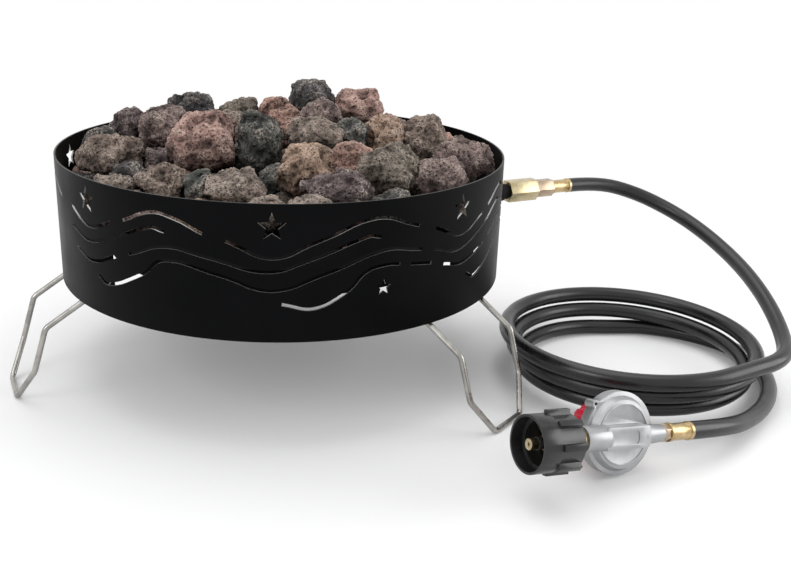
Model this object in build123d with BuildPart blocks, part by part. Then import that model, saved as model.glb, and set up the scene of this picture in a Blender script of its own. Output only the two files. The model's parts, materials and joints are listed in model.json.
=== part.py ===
from build123d import *
import os
from math import atan2, ceil, cos, degrees, hypot, pi, radians, sin, sqrt, tan
from random import Random

# Portable propane fire pit, in millimetres. The ground is z = 0 under the middle of the fire ring,
# +Z is up, and -Y is the front. Angles round the ring start at +X and run anticlockwise from above.

# Fire ring
ring_diameter = 406.4
ring_wall = 1.5
ring_height = 111.0
ring_bottom = 94.0

# Waves and stars cut through the ring: heights above the ring's lower edge
slot_width = 2.8
cut_margin = 12.0
star_radius = 11.5
small_star_radius = 7.0
star_waist = 0.42

# Rock pan: a brim that rests on the leg brackets, round a bowl that holds the burner
pan_floor = 153.0
pan_sheet = 1.2
pan_lip = 15.0
pan_gap = 0.3
bowl_radius = 160.0
bowl_bottom = 116.0

# Folding wire legs
leg_azimuths = {"right": -34.5, "rear": 85.5, "left": 205.5}
leg_wire = 5.0
leg_hinge_radius = 172.0
leg_hinge_height = 105.0
leg_half_width = 41.2
leg_knee_radius = 226.8
leg_knee_height = 70.2
leg_shin_radius = 238.4
leg_shin_height = 32.2
foot_radius = 253.0
foot_half_width = 21.3
leg_bend = 9.0
hinge_bend = 4.5
foot_bend = 6.0

# Leg brackets, welded inside the ring
bracket_sheet = 2.5
bracket_eye_gap = 0.06
lug_half_gap = 33.0
lug_back = 166.0
lug_nose = 188.0
lug_bottom = 97.0
hinge_pin_inset = 3.0
stop_gap = 0.3
stop_start = 8.0
stop_end = 16.0
weld_gap = 0.2

# Burner
burner_diameter = 150.0
burner_tube = 12.7
burner_tube_wall = 1.0
burner_port = 1.8
burner_port_count = 24
burner_feed_hole = 6.0
weld_seam = 0.05
arm_diameter = 10.0
hub_size = 24.0
hub_height = 18.0
hub_post = 14.0
saddle_length = 18.0
saddle_width = 10.0
saddle_rise = 4.0
saddle_count = 3
neck_length = 10.0
neck_flange = 3.0
neck_spigot = 10.0

# Gas inlet through the ring: distances along it are from the ring's axis
inlet_azimuth = 28.0
inlet_height = 140.5
mixer_diameter = 16.0
mixer_wall = 1.2
mixer_end = 249.8
mixer_hole_gap = 0.3
lock_nut_flats = 24.0
lock_nut_height = 5.0
lock_nut_seat = 0.3
air_window_length = 12.0
air_window_width = 8.0
air_window_at = 228.0
shutter_length = 32.0
shutter_wall = 1.4
shutter_gap = 0.08
shutter_screw_diameter = 3.0
shutter_screw_head = 7.0
shutter_screw_head_height = 5.0
shutter_screw_from_end = 5.0
orifice_length = 10.0
orifice_diameter = 8.0
orifice_hole = 1.2
coupling_start = 250.0
coupling_end = 285.0
coupling_flats = 21.5
coupling_spigot = 14.0
coupling_nose = 10.0
coupling_nose_diameter = 12.6
coupling_bore = 6.0
hose_nut_flats = 17.0
hose_nut_length = 21.0
hose_nut_gap = 0.2
hose_nut_wall = 7.5
thread_gap = 0.05
pit_ferrule_length = 24.0
ferrule_diameter = 13.8
ferrule_bead = 0.7
ferrule_bead_length = 3.5

# Hose
hose_diameter = 15.0
hose_bore = 6.4
stem_gap = 0.1
stem_reach = 14.0
coil_x = 335.0
coil_y = -26.0
coil_inner_radius = 102.0
coil_growth = 7.5
coil_climb = 14.6
coil_lift = 2.0
coil_start = -50.0
coil_sweep = 940.0
lead_first_run = 40.0
lead_last_run = 38.0
tail_run = 40.0
bend_share = 0.45
lead_points = [
    (371.0, 177.0, 129.5),
    (410.0, 160.0, 114.5),
    (436.0, 127.0, 102.0),
    (456.0, 85.0, 88.5),
    (467.0, 41.0, 77.0),
    (472.5, -4.0, 64.0),
    (471.0, -50.0, 51.5),
]
tail_points = [
    (419.0, 64.0, 7.5),
    (451.0, 35.0, 7.5),
    (466.0, -8.0, 7.5),
    (463.0, -56.0, 7.5),
    (444.0, -102.0, 8.0),
    (414.0, -143.0, 12.0),
]

# Regulator: its flow axis starts in the hand nut's mouth and runs to the hose, s along it,
# and its diaphragm housing faces the front, d in front of the flow axis
mouth_at = (207.6, -271.3, 50.6)
flow_azimuth = 27.6
flow_dip = 7.7
lean = 16.0
housing_s = 96.0
housing_radius = 32.9
flange_thickness = 4.0
flange_back = -15.0
crimp_wall = 1.4
crimp_lip = 1.15
crimp_reach = 1.9
crimp_play = 0.05
crimp_bevel = 0.8
dome_radius = 29.5
dome_top = -6.0
dome_taper = 28.0
dome_bead_radius = 24.6
dome_bead_width = 1.4
dome_bead_height = 0.6
chamber_radius = 25.0
chamber_top = -8.5
inlet_boss_radius = 10.0
inlet_boss_start = 50.0
inlet_boss_end = 72.0
block_start = 68.0
block_end = 111.0
block_half_width = 8.5
block_depth = 8.0
block_round = 3.0
panel_start = 74.0
panel_end = 100.0
panel_half_width = 5.0
panel_depth = 0.8
outlet_radius = 8.3
outlet_taper = 4.0
outlet_end = 128.2
outlet_socket_depth = 8.0
gas_bore_radius = 3.0
well_start = 86.0
well_end = 106.0
well_half_width = 5.0
well_top = 5.0
ear_radius = 3.2
ear_reach = 33.6
ear_angle = 135.0
ear_hole_radius = 1.2
ear_hole_reach = 34.2
diaphragm_thickness = 1.0
diaphragm_radius = 30.5
diaphragm_hole = 2.0
plate_radius = 18.0
plate_thickness = 1.2
post_radius = 1.6
post_gap = 0.3
plate_gap = 0.1
bonnet_cone_radius = 29.0
bonnet_cone_depth = 7.0
bonnet_cavity_radius = 25.0
bonnet_cavity_depth = 3.0
tower_radius = 13.0
tower_length = 9.0
tower_wall = 3.0
tower_cap = 3.0
spring_radius = 7.5
spring_wire = 1.5
spring_pitch = 2.4
spring_turns = 3.5
spring_seat = 0.05
spring_play = 1.1
button_gap = 0.3
button_thickness = 1.5
adjuster_radius = 4.0
adjuster_length = 17.0
knob_radius = 18.0
knob_wall = 2.5
knob_depth = 18.0
knob_cap = 3.0
knob_flutes = 12
knob_flute_radius = 3.0
knob_flute_depth = 1.2
lever_width = 5.0
lever_pivot_s = 100.0
lever_pivot_d = -5.0
lever_boss = 2.2
lever_web = 3.0
lever_foot_s = 91.0
lever_foot_d = -8.0
lever_foot_thickness = 1.4
lever_tip_s = 89.0
lever_tip_height = 2.5
lever_pin_radius = 1.0
lever_pin_length = 14.0
lever_pin_gap = 0.03
pad_radius = 2.0
pad_thickness = 1.6
pad_opening = 1.0
seat_length = 8.0
seat_hole = 0.75
outlet_stem_radius = 4.0
outlet_collar_length = 6.0
outlet_collar_flats = 13.0
regulator_ferrule_length = 24.3

# Gas cylinder connection
nut_radius = 22.1
nut_rib_radius = 24.4
nut_core_radius = 20.4
nut_length = 38.0
nut_front = 16.0
nut_rib_count = 8
nut_rib_width = 5.0
nut_rib_end = 36.5
nut_bore_radius = 16.8
nut_bore_depth = 26.0
nut_mouth_radius = 20.2
nut_mouth_depth = 10.0
nut_run_gap = 0.08
bush_wall = 2.0
bush_flange_radius = 12.5
bush_flange = 3.0
bush_gap = 0.3
nipple_tip_s = 1.0
nipple_tip_radius = 4.4
nipple_tip_length = 15.0
nipple_bore_radius = 1.3
nipple_radius = 6.8
collar_start = 41.0
collar_radius = 8.3
nipple_spigot_radius = 6.0
nipple_spigot_length = 12.0
seal_radius = 5.0
seal_groove = 3.5
seal_at = 8.0
seal_width = 2.6
seal_gap = 0.05

# Lava rocks
rock_gap = 0.5
rock_facets = 20
rock_least = 0.84
rock_most = 1.0
rock_jolt = 0.22
rock_nearness = 0.75
rock_seed = 40
rim_clearance = 1.3
rim_step = 9.0
burner_keep_out = 96.0
rock_rows = {
    "lava_rocks_left": [
        (-141, -60, 199, 62, 56, 50),
        (-150, 30, 209, 40, 44, 42),
        (-166, -8, 200, 40, 44, 36),
        (-114, 14, 213, 50, 50, 54),
        (-62, -60, 218, 68, 58, 58),
        (-98, 72, 219, 50, 48, 46),
        (-106, -48, 194, 36, 40, 36),
        (-86, -118, 193, 46, 44, 42),
        (-51, -130, 194, 30, 38, 38),
    ],
    "lava_rocks_middle": [
        (-54, 36, 212, 48, 44, 38),
        (-52, 80, 214, 48, 44, 42),
        (-18, 82, 218, 44, 44, 42),
        (-18, -52, 214, 46, 48, 64),
        (0, 14, 216, 44, 50, 50),
        (-22, -142, 197, 50, 46, 40),
        (35, 4, 228, 46, 40, 42),
        (31, -36, 219, 52, 46, 44),
        (30, -112, 206, 50, 50, 52),
        (61, -145, 201, 66, 42, 36),
        (41, -176, 189, 48, 34, 32),
        (5, -172, 188, 40, 36, 32),
    ],
    "lava_rocks_right": [
        (62, -14, 216, 38, 42, 44),
        (92, 0, 215, 48, 46, 50),
        (99, -94, 204, 58, 54, 58),
        (128, 2, 211, 50, 52, 60),
        (140, -90, 197, 58, 48, 44),
        (156, -40, 201, 42, 44, 46),
        (174, -8, 196, 44, 44, 42),
        (166, 34, 193, 44, 46, 40),
    ],
    "lava_rocks_front": [
        (104, -142, 184, 52, 46, 38),
        (-124, -120, 183, 50, 46, 38),
        (66, -68, 203, 50, 50, 46),
        (-30, -98, 184, 46, 44, 44),
        (6, -88, 188, 40, 44, 44),
        (-120, -92, 189, 40, 40, 40),
    ],
    "lava_rocks_crown": [
        (22, 42, 241, 48, 46, 42),
        (66, 42, 233, 56, 50, 46),
    ],
}
bed_outer_count = 14
bed_inner_count = 9
bowl_count = 9
bowl_turns = [inlet_azimuth + 360 * (i + 0.5) / bowl_count for i in range(bowl_count)]
hearth_count = 5
rock_rings = [
    ("lava_rocks_rear", (24, 48, 72, 96, 120, 144), 152, 190, (60, 56, 48)),
    ("lava_rocks_rear", (30, 50, 75, 100), 104, 203, (56, 54, 50)),
    ("lava_rocks_bed", [360 * i / bed_outer_count for i in range(bed_outer_count)], 164, 171, (76, 76, 44)),
    ("lava_rocks_bed", [360 * i / bed_inner_count for i in range(bed_inner_count)], 110, 171, (66, 66, 44)),
    ("lava_rocks_bowl", bowl_turns, 121, 136, (64, 70, 40)),
    ("lava_rocks_hearth", [360 * i / hearth_count for i in range(hearth_count)], 42, 180, (58, 58, 64)),
]

# Values worked out from the driving dimensions
ring_radius = ring_diameter / 2
ring_inner = ring_radius - ring_wall
pan_radius = ring_inner - pan_gap
pan_top = pan_floor + pan_sheet
bowl_top = bowl_bottom + pan_sheet
wire_radius = leg_wire / 2
burner_axis = inlet_height
burner_radius = burner_diameter / 2
neck_end = burner_radius + burner_tube / 2 + neck_length
mixer_start = neck_end + neck_flange
mixer_bore = mixer_diameter - 2 * mixer_wall
mixer_hole = mixer_diameter + 2 * mixer_hole_gap
hose_radius = hose_diameter / 2
stem_radius = hose_bore / 2 - stem_gap
hose_nut_start = coupling_end + hose_nut_gap
hose_nut_end = hose_nut_start + hose_nut_length
pit_ferrule_end = hose_nut_end + pit_ferrule_length

os.makedirs("parts", exist_ok=True)


def finish(builder, name):
    builder.part.label = name
    export_step(builder.part, f"parts/{name}.step")


def around(azimuth, radius, offset, height):
    """A point at a radius from the ring's axis, set sideways by an offset."""
    turn = radians(azimuth)
    return (
        radius * cos(turn) - offset * sin(turn),
        radius * sin(turn) + offset * cos(turn),
        height,
    )


def outward_plane(azimuth, offset=0.0, height=0.0):
    """A plane through the ring's axis: x runs outward, y up, and the normal backward."""
    turn = radians(azimuth)
    return Plane(
        origin=around(azimuth, 0, offset, height),
        x_dir=(cos(turn), sin(turn), 0),
        z_dir=(sin(turn), -cos(turn), 0),
    )


def cross_plane(azimuth, radius, height):
    """A plane square to the radius: x runs sideways, y up, and the normal outward."""
    turn = radians(azimuth)
    return Plane(
        origin=around(azimuth, radius, 0, height),
        x_dir=(-sin(turn), cos(turn), 0),
        z_dir=(cos(turn), sin(turn), 0),
    )


def inlet_plane(distance):
    return cross_plane(inlet_azimuth, distance, inlet_height)


def add_round(plane, diameter, length, mode=Mode.ADD):
    """A round bar on a plane, or a hole."""
    with BuildSketch(plane) as profile:
        Circle(diameter / 2)
    extrude(profile.sketch, amount=length, mode=mode)


def add_hex(plane, flats, length, mode=Mode.ADD):
    """A hexagon bar on a plane, given across its flats."""
    with BuildSketch(plane) as profile:
        RegularPolygon(flats / 2, 6, major_radius=False)
    extrude(profile.sketch, amount=length, mode=mode)


def biarc(start, start_way, end, end_way):
    """The joint of two arcs that leave start and reach end along the given directions."""
    span = end - start
    ways = start_way + end_way
    bend = 2 * (1 - start_way.dot(end_way))
    along = span.dot(ways)
    reach = (-along + sqrt(along**2 + bend * span.dot(span))) / bend
    joint = (start + end + (start_way - end_way) * reach) * 0.5
    joint_way = (joint - start - start_way * reach).normalized()
    return joint, joint_way


def smooth_arcs(points, ways):
    """Arcs through the points, two for each span, tangent to one another."""
    for i in range(len(points) - 1):
        joint, joint_way = biarc(points[i], ways[i], points[i + 1], ways[i + 1])
        TangentArc(points[i], joint, tangent=ways[i])
        TangentArc(joint, points[i + 1], tangent=joint_way)


def bend_radii(points, share):
    """Each corner's radius, as large as its two runs allow."""
    radii = []
    for before, corner, after in zip(points, points[1:], points[2:]):
        run_in = Vector(corner) - Vector(before)
        run_out = Vector(after) - Vector(corner)
        turn = radians(run_in.get_angle(run_out))
        radii.append(share * min(run_in.length, run_out.length) / tan(turn / 2))
    return radii


# Fire ring: each wave slot is a line of points, given as degrees right of the front and height
wave_slots = [
    [(-52, 84), (-45, 73), (-41, 73.5), (-35, 81.5)],
    [(-31, 86), (-23, 97), (-17, 94), (-11, 85)],
    [(-6, 81), (4, 68.5), (14, 81.5), (27, 97), (38, 86.5)],
    [(43, 81.5), (52, 70.5), (62, 82)],
    [(65, 86), (73, 97), (79, 94), (85, 85)],
    [(-52, 66.5), (-44, 60), (-34, 70), (-24, 84.5), (-20, 83)],
    [(-50, 49), (-43, 43.5), (-34, 54)],
    [(-30, 59), (-20, 71), (-10, 66.5), (3, 57.5), (13, 68), (25, 83), (28, 82)],
    [(-41, 33.5), (-37, 28.5), (-27, 43.5), (-20, 60), (-8, 53.5), (4, 42.5), (16, 56), (29, 70.5),
     (39, 66.5)],
    [(43, 64), (51, 58), (62, 70), (72, 84.5), (76, 83)],
    [(6, 31.5), (13, 27.5), (20, 39), (25, 55), (30, 58.5), (33, 57.5)],
    [(36, 56), (42, 53)],
    [(46, 49), (53, 45), (63, 53.5)],
    [(66, 59), (76, 71), (88, 66)],
    [(55, 33.5), (59, 28.5), (69, 43.5), (76, 60), (88, 53.5)],
]
first_wave_slots = [0, 1, 5, 6]
last_wave_slots = [13, 14]
stars = [(-44, 94, star_radius), (4, 93, star_radius), (52, 93, star_radius), (29, 40, small_star_radius)]
pattern_step = 144.0
front_azimuth = -90.0


def slot_plane(angle):
    return cross_plane(front_azimuth + angle, 0, ring_bottom)


def wave_cutter(points, shift):
    """The solid that cuts one wavy slot, straight out from the ring's axis."""
    middle = (points[0][0] + points[-1][0]) / 2
    flat = [Vector(ring_radius * sin(radians(a - middle)), h) for a, h in points]
    ways = [flat[1] - flat[0]]
    ways += [flat[i + 1] - flat[i - 1] for i in range(1, len(flat) - 1)]
    ways += [flat[-1] - flat[-2]]
    near = min(ring_inner * cos(radians(a - middle)) for a, h in points) - cut_margin
    with BuildPart() as cutter:
        with BuildSketch(slot_plane(middle + shift).offset(near)):
            with BuildLine():
                if len(flat) == 2:
                    Line(*flat)
                else:
                    smooth_arcs(flat, [way.normalized() for way in ways])
            trace(line_width=slot_width)
        extrude(amount=ring_radius + cut_margin - near)
    return cutter.part


def star_cutter(angle, height, radius):
    """The solid that cuts one five-point star."""
    tips = [
        (r * sin(pi * i / 5), height + r * cos(pi * i / 5))
        for i, r in enumerate([radius, star_waist * radius] * 5)
    ]
    with BuildPart() as cutter:
        with BuildSketch(slot_plane(angle).offset(ring_inner - cut_margin)):
            with BuildLine():
                Polyline(*tips, close=True)
            make_face()
        extrude(amount=2 * cut_margin)
    return cutter.part


cutters = []
left_waves = [points for i, points in enumerate(wave_slots) if i not in last_wave_slots]
for waves, shift in ((left_waves, -pattern_step), (wave_slots, 0)):
    cutters += [wave_cutter(points, shift) for points in waves]
    cutters += [star_cutter(angle + shift, height, radius) for angle, height, radius in stars]
cutters += [wave_cutter(wave_slots[i], pattern_step) for i in first_wave_slots]

with BuildPart() as fire_ring:
    with BuildSketch(Plane.XY.offset(ring_bottom)):
        Circle(ring_radius)
        Circle(ring_inner, mode=Mode.SUBTRACT)
    extrude(amount=ring_height)
    add(cutters, mode=Mode.SUBTRACT)
    add_round(inlet_plane(ring_inner - cut_margin), mixer_hole, 2 * cut_margin, Mode.SUBTRACT)
finish(fire_ring, "fire_ring")

# Rock pan: a lipped brim round a bowl, with a hole for the gas inlet
with BuildPart() as rock_pan:
    add_round(Plane.XY.offset(pan_floor), 2 * pan_radius, pan_lip)
    add_round(Plane.XY.offset(bowl_bottom), 2 * bowl_radius, pan_floor - bowl_bottom)
    add_round(Plane.XY.offset(pan_top), 2 * (pan_radius - pan_sheet), pan_lip, Mode.SUBTRACT)
    add_round(Plane.XY.offset(bowl_top), 2 * (bowl_radius - pan_sheet), pan_top - bowl_top, Mode.SUBTRACT)
    add_round(inlet_plane(bowl_radius - cut_margin), mixer_hole, 2 * cut_margin, Mode.SUBTRACT)
finish(rock_pan, "rock_pan")

# Leg brackets: a flange under the brim, two lugs with the hinge eyes, and a stop beside each lug
lug_outer = lug_half_gap + bracket_sheet
weld_radius = ring_inner - weld_gap
thigh_angle = atan2(leg_knee_height - leg_hinge_height, leg_knee_radius - leg_hinge_radius)


def thigh_point(along, above):
    """A point beside the leg's upper run, in the bracket's own outline."""
    return (
        leg_hinge_radius + along * cos(thigh_angle) - above * sin(thigh_angle),
        leg_hinge_height + along * sin(thigh_angle) + above * cos(thigh_angle),
    )


stop_under = wire_radius + stop_gap
stop_outline = [
    thigh_point(stop_start, stop_under),
    thigh_point(stop_end, stop_under),
    thigh_point(stop_end, stop_under + bracket_sheet),
    thigh_point(stop_start, stop_under + bracket_sheet),
]
lug_outline = [
    (lug_back, pan_floor),
    (lug_back, lug_bottom),
    (lug_nose, lug_bottom),
    (lug_nose, pan_floor - bracket_sheet),
    (ring_inner, pan_floor - bracket_sheet),
    (ring_inner, pan_floor),
]
stop_reach = leg_half_width + wire_radius - lug_outer + bracket_sheet
for side, azimuth in leg_azimuths.items():
    with BuildPart() as leg_bracket:
        with BuildSketch(outward_plane(azimuth, lug_outer)):
            with BuildLine():
                Polyline(*lug_outline, close=True)
            make_face()
        extrude(amount=2 * lug_outer)
        with BuildSketch(outward_plane(azimuth, lug_half_gap)):
            with Locations(((lug_back + lug_nose) / 2, (lug_bottom + pan_floor) / 2 - bracket_sheet)):
                Rectangle(lug_nose - lug_back, pan_floor - lug_bottom)
        extrude(amount=2 * lug_half_gap, mode=Mode.SUBTRACT)
        for start in (lug_outer + stop_reach, -lug_outer):
            with BuildSketch(outward_plane(azimuth, start)):
                with BuildLine():
                    Polyline(*stop_outline, close=True)
                make_face()
            extrude(amount=stop_reach)
        with BuildSketch(outward_plane(azimuth, lug_outer)):
            with Locations((leg_hinge_radius, leg_hinge_height)):
                Circle(wire_radius + bracket_eye_gap)
        extrude(amount=2 * lug_outer, mode=Mode.SUBTRACT)
        add_round(Plane.XY.offset(ring_bottom), 2 * weld_radius, pan_floor - ring_bottom, Mode.INTERSECT)
    finish(leg_bracket, f"leg_bracket_{side}")

# Wire legs: one bent rod each, from hinge end to hinge end round the foot
hinge_end = lug_half_gap - hinge_pin_inset
leg_side = [
    (leg_hinge_radius, hinge_end, leg_hinge_height),
    (leg_hinge_radius, leg_half_width, leg_hinge_height),
    (leg_knee_radius, leg_half_width, leg_knee_height),
    (leg_shin_radius, leg_half_width, leg_shin_height),
    (foot_radius, foot_half_width, wire_radius),
]
leg_shape = leg_side + [(r, -offset, h) for r, offset, h in reversed(leg_side)]
half_bends = [hinge_bend, leg_bend, leg_bend, foot_bend]
for side, azimuth in leg_azimuths.items():
    leg_points = [around(azimuth, *point) for point in leg_shape]
    with BuildPart() as leg:
        with BuildLine() as leg_line:
            FilletPolyline(*leg_points, radius=half_bends + half_bends[::-1])
        with BuildSketch(Plane(origin=leg_line.line @ 0, z_dir=leg_line.line % 0)):
            Circle(wire_radius)
        sweep()
    finish(leg, f"leg_{side}")

# Burner: a ported ring, two arms, the hub they meet, and the neck that feeds it
def cut_burner_seat(azimuth):
    """Cut away what the burner ring's tube fills, from an azimuth clear of the piece."""
    with BuildSketch(outward_plane(azimuth)) as seat:
        with Locations((burner_radius, burner_axis)):
            Circle(burner_tube / 2 + weld_seam)
    revolve(seat.sketch, axis=Axis.Z, mode=Mode.SUBTRACT)


with BuildPart() as gas_space:
    with BuildSketch(outward_plane(inlet_azimuth + 90)):
        with Locations(Location((burner_radius, burner_axis, 0), (0, 0, -90))):
            Circle(burner_tube / 2 - burner_tube_wall)
    revolve(axis=Axis.Z)
    add_round(inlet_plane(-burner_radius), burner_feed_hole, 2 * burner_radius + burner_tube)
    with BuildSketch(Plane.XY.offset(burner_axis)):
        with PolarLocations(burner_radius, burner_port_count, inlet_azimuth + 180 / burner_port_count):
            Circle(burner_port / 2)
    extrude(amount=burner_tube)

with BuildPart() as burner_ring:
    with BuildSketch(outward_plane(inlet_azimuth + 90)):
        with Locations(Location((burner_radius, burner_axis, 0), (0, 0, -90))):
            Circle(burner_tube / 2)
    revolve(axis=Axis.Z)
    add(gas_space.part, mode=Mode.SUBTRACT)
finish(burner_ring, "burner_ring")

hub_half = hub_size / 2
with BuildPart() as burner_arms:
    for way in (0, 180):
        with BuildSketch(cross_plane(inlet_azimuth + way, hub_half, burner_axis)):
            Circle(arm_diameter / 2)
            Circle(burner_feed_hole / 2, mode=Mode.SUBTRACT)
        extrude(amount=burner_radius - hub_half)
    cut_burner_seat(inlet_azimuth + 90)
finish(burner_arms, "burner_arms")

with BuildPart() as burner_hub:
    add_round(Plane.XY.offset(bowl_top), hub_post, burner_axis - bowl_top)
    with BuildSketch(Plane(origin=(0, 0, burner_axis - hub_height / 2),
                           x_dir=around(inlet_azimuth, 1, 0, 0), z_dir=(0, 0, 1))):
        Rectangle(hub_size, hub_size)
    extrude(amount=hub_height)
    add_round(inlet_plane(-hub_size), burner_feed_hole, 2 * hub_size, Mode.SUBTRACT)
finish(burner_hub, "burner_hub")

with BuildPart() as burner_inlet:
    add_round(inlet_plane(burner_radius), arm_diameter, neck_end - burner_radius)
    cut_burner_seat(inlet_azimuth + 90)
    add_round(inlet_plane(neck_end), mixer_diameter, neck_flange)
    add_round(inlet_plane(mixer_start), mixer_bore - 2 * thread_gap, neck_spigot)
    neck_bore = mixer_start + neck_spigot - burner_radius
    add_round(inlet_plane(burner_radius), burner_feed_hole, neck_bore, Mode.SUBTRACT)
finish(burner_inlet, "burner_inlet")

with BuildPart() as burner_saddles:
    for i in range(saddle_count):
        saddle_azimuth = inlet_azimuth + 90 + i * 360 / saddle_count
        with BuildSketch(Plane(origin=around(saddle_azimuth, burner_radius, 0, bowl_top),
                               x_dir=around(saddle_azimuth, 1, 0, 0), z_dir=(0, 0, 1))):
            Rectangle(saddle_length, saddle_width)
        extrude(amount=burner_axis - burner_tube / 2 + saddle_rise - bowl_top)
    cut_burner_seat(inlet_azimuth)
finish(burner_saddles, "burner_saddles")


# Mixer tube: it carries the gas and the air from outside the ring to the burner
def cut_air_windows(depth):
    """Two windows through a tube's sides, above and below the axis."""
    with BuildSketch(Plane(origin=around(inlet_azimuth, air_window_at, 0, inlet_height),
                           x_dir=around(inlet_azimuth, 1, 0, 0), z_dir=(0, 0, 1))) as window:
        SlotOverall(air_window_length, air_window_width)
    extrude(window.sketch, amount=depth, both=True, mode=Mode.SUBTRACT)


with BuildPart() as mixer_tube:
    add_round(inlet_plane(mixer_start), mixer_diameter, mixer_end - mixer_start)
    add_round(inlet_plane(mixer_start), mixer_bore, mixer_end - mixer_start, Mode.SUBTRACT)
    cut_air_windows(mixer_diameter)
finish(mixer_tube, "mixer_tube")

nut_corner = lock_nut_flats / sqrt(3)
inner_nut_face = sqrt(ring_inner**2 - nut_corner**2) - lock_nut_seat
with BuildPart() as mixer_lock_nuts:
    for face in (inner_nut_face - lock_nut_height, ring_radius + lock_nut_seat):
        add_hex(inlet_plane(face), lock_nut_flats, lock_nut_height)
        add_round(inlet_plane(face), mixer_diameter + 2 * thread_gap, lock_nut_height, Mode.SUBTRACT)
finish(mixer_lock_nuts, "mixer_lock_nuts")

shutter_start = air_window_at - shutter_length / 2
shutter_bore = mixer_diameter + 2 * shutter_gap
screw_at = around(inlet_azimuth, shutter_start + shutter_length - shutter_screw_from_end, 0, inlet_height)
screw_plane = Plane(origin=screw_at, z_dir=(0, 0, 1))
with BuildPart() as air_shutter:
    add_round(inlet_plane(shutter_start), shutter_bore + 2 * shutter_wall, shutter_length)
    add_round(inlet_plane(shutter_start), shutter_bore, shutter_length, Mode.SUBTRACT)
    cut_air_windows(mixer_diameter)
    add_round(screw_plane, shutter_screw_diameter + 2 * thread_gap, mixer_diameter, Mode.SUBTRACT)
finish(air_shutter, "air_shutter")

shutter_top = shutter_bore / 2 + shutter_wall
with BuildPart() as shutter_screw:
    add_round(screw_plane.offset(shutter_bore / 2), shutter_screw_diameter, shutter_wall)
    add_round(screw_plane.offset(shutter_top), shutter_screw_head, shutter_screw_head_height)
finish(shutter_screw, "shutter_screw")

# Brass inlet: the coupling plugs the mixer tube, carries the orifice and takes the hose nut
spigot_start = coupling_start - coupling_spigot
with BuildPart() as gas_orifice:
    add_round(inlet_plane(spigot_start - orifice_length), orifice_diameter, orifice_length)
    add_round(inlet_plane(spigot_start - orifice_length), orifice_hole, orifice_length, Mode.SUBTRACT)
finish(gas_orifice, "gas_orifice")

with BuildPart() as inlet_coupling:
    add_hex(inlet_plane(coupling_start), coupling_flats, coupling_end - coupling_start)
    add_round(inlet_plane(spigot_start), mixer_bore - 2 * thread_gap, coupling_spigot)
    add_round(inlet_plane(coupling_end), coupling_nose_diameter, coupling_nose)
    coupling_length = coupling_end + coupling_nose - spigot_start
    add_round(inlet_plane(spigot_start), coupling_bore, coupling_length, Mode.SUBTRACT)
finish(inlet_coupling, "inlet_coupling")

stem_flange_start = coupling_end + coupling_nose + hose_nut_gap
stem_flange_end = hose_nut_end - hose_nut_wall
stem_shank = hose_bore + 2
with BuildPart() as hose_nut:
    add_hex(inlet_plane(hose_nut_start), hose_nut_flats, hose_nut_length)
    add_round(inlet_plane(hose_nut_start), coupling_nose_diameter + 2 * thread_gap,
              hose_nut_length - hose_nut_wall, Mode.SUBTRACT)
    add_round(inlet_plane(hose_nut_start), stem_shank + 2 * thread_gap, hose_nut_length, Mode.SUBTRACT)
finish(hose_nut, "hose_nut")

pit_stem_end = pit_ferrule_end + stem_reach
with BuildPart() as hose_stem_pit_end:
    add_round(inlet_plane(stem_flange_start), coupling_nose_diameter, stem_flange_end - stem_flange_start)
    add_round(inlet_plane(stem_flange_end), stem_shank, hose_nut_end - stem_flange_end)
    add_round(inlet_plane(hose_nut_end), 2 * stem_radius, pit_stem_end - hose_nut_end)
    add_round(inlet_plane(stem_flange_start), stem_radius, pit_stem_end - stem_flange_start, Mode.SUBTRACT)
finish(hose_stem_pit_end, "hose_stem_pit_end")


def add_ferrule(plane, length):
    """A crimped sleeve with a bead at each end."""
    add_round(plane, ferrule_diameter, length)
    for bead in (0, length - ferrule_bead_length):
        add_round(plane.offset(bead), ferrule_diameter + 2 * ferrule_bead, ferrule_bead_length)
    add_round(plane, hose_bore, length, Mode.SUBTRACT)


with BuildPart() as hose_ferrule_pit_end:
    add_ferrule(inlet_plane(hose_nut_end), pit_ferrule_length)
finish(hose_ferrule_pit_end, "hose_ferrule_pit_end")

# Regulator frame: s along the flow, d out of the housing's face
flow_turn = radians(flow_azimuth)
dip = radians(flow_dip)
flow_way = Vector(cos(flow_turn) * cos(dip), sin(flow_turn) * cos(dip), -sin(dip))
level_face = Vector(sin(flow_turn), -cos(flow_turn), 0)
upright = level_face.cross(flow_way)
face_way = level_face * cos(radians(lean)) + upright * sin(radians(lean))
mouth = Vector(*mouth_at)
up_way = face_way.cross(flow_way)


def flow_plane(s, d=0.0):
    """A plane square to the flow at s, its normal along the flow."""
    return Plane(origin=mouth + flow_way * s + face_way * d, x_dir=up_way, z_dir=flow_way)


def face_plane(d, s=housing_s):
    """A plane along the housing's face at d, x along the flow."""
    return Plane(origin=mouth + flow_way * s + face_way * d, x_dir=flow_way, z_dir=face_way)


def side_plane(offset):
    """A plane along the flow and square to the face: x is s, y is d."""
    return Plane(origin=mouth + up_way * offset, x_dir=flow_way, z_dir=flow_way.cross(face_way))


# Hose: the lead, the coil and the tail, end to end
def coil_point(travel):
    """A point on the coil after so many degrees of travel from its upper end."""
    left = (coil_sweep - travel) / 360
    angle = radians(coil_start - travel)
    radius = coil_inner_radius + coil_growth * left
    height = hose_radius + coil_climb * left + coil_lift * min(left, 1)
    return Vector(coil_x + radius * cos(angle), coil_y + radius * sin(angle), height)


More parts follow.
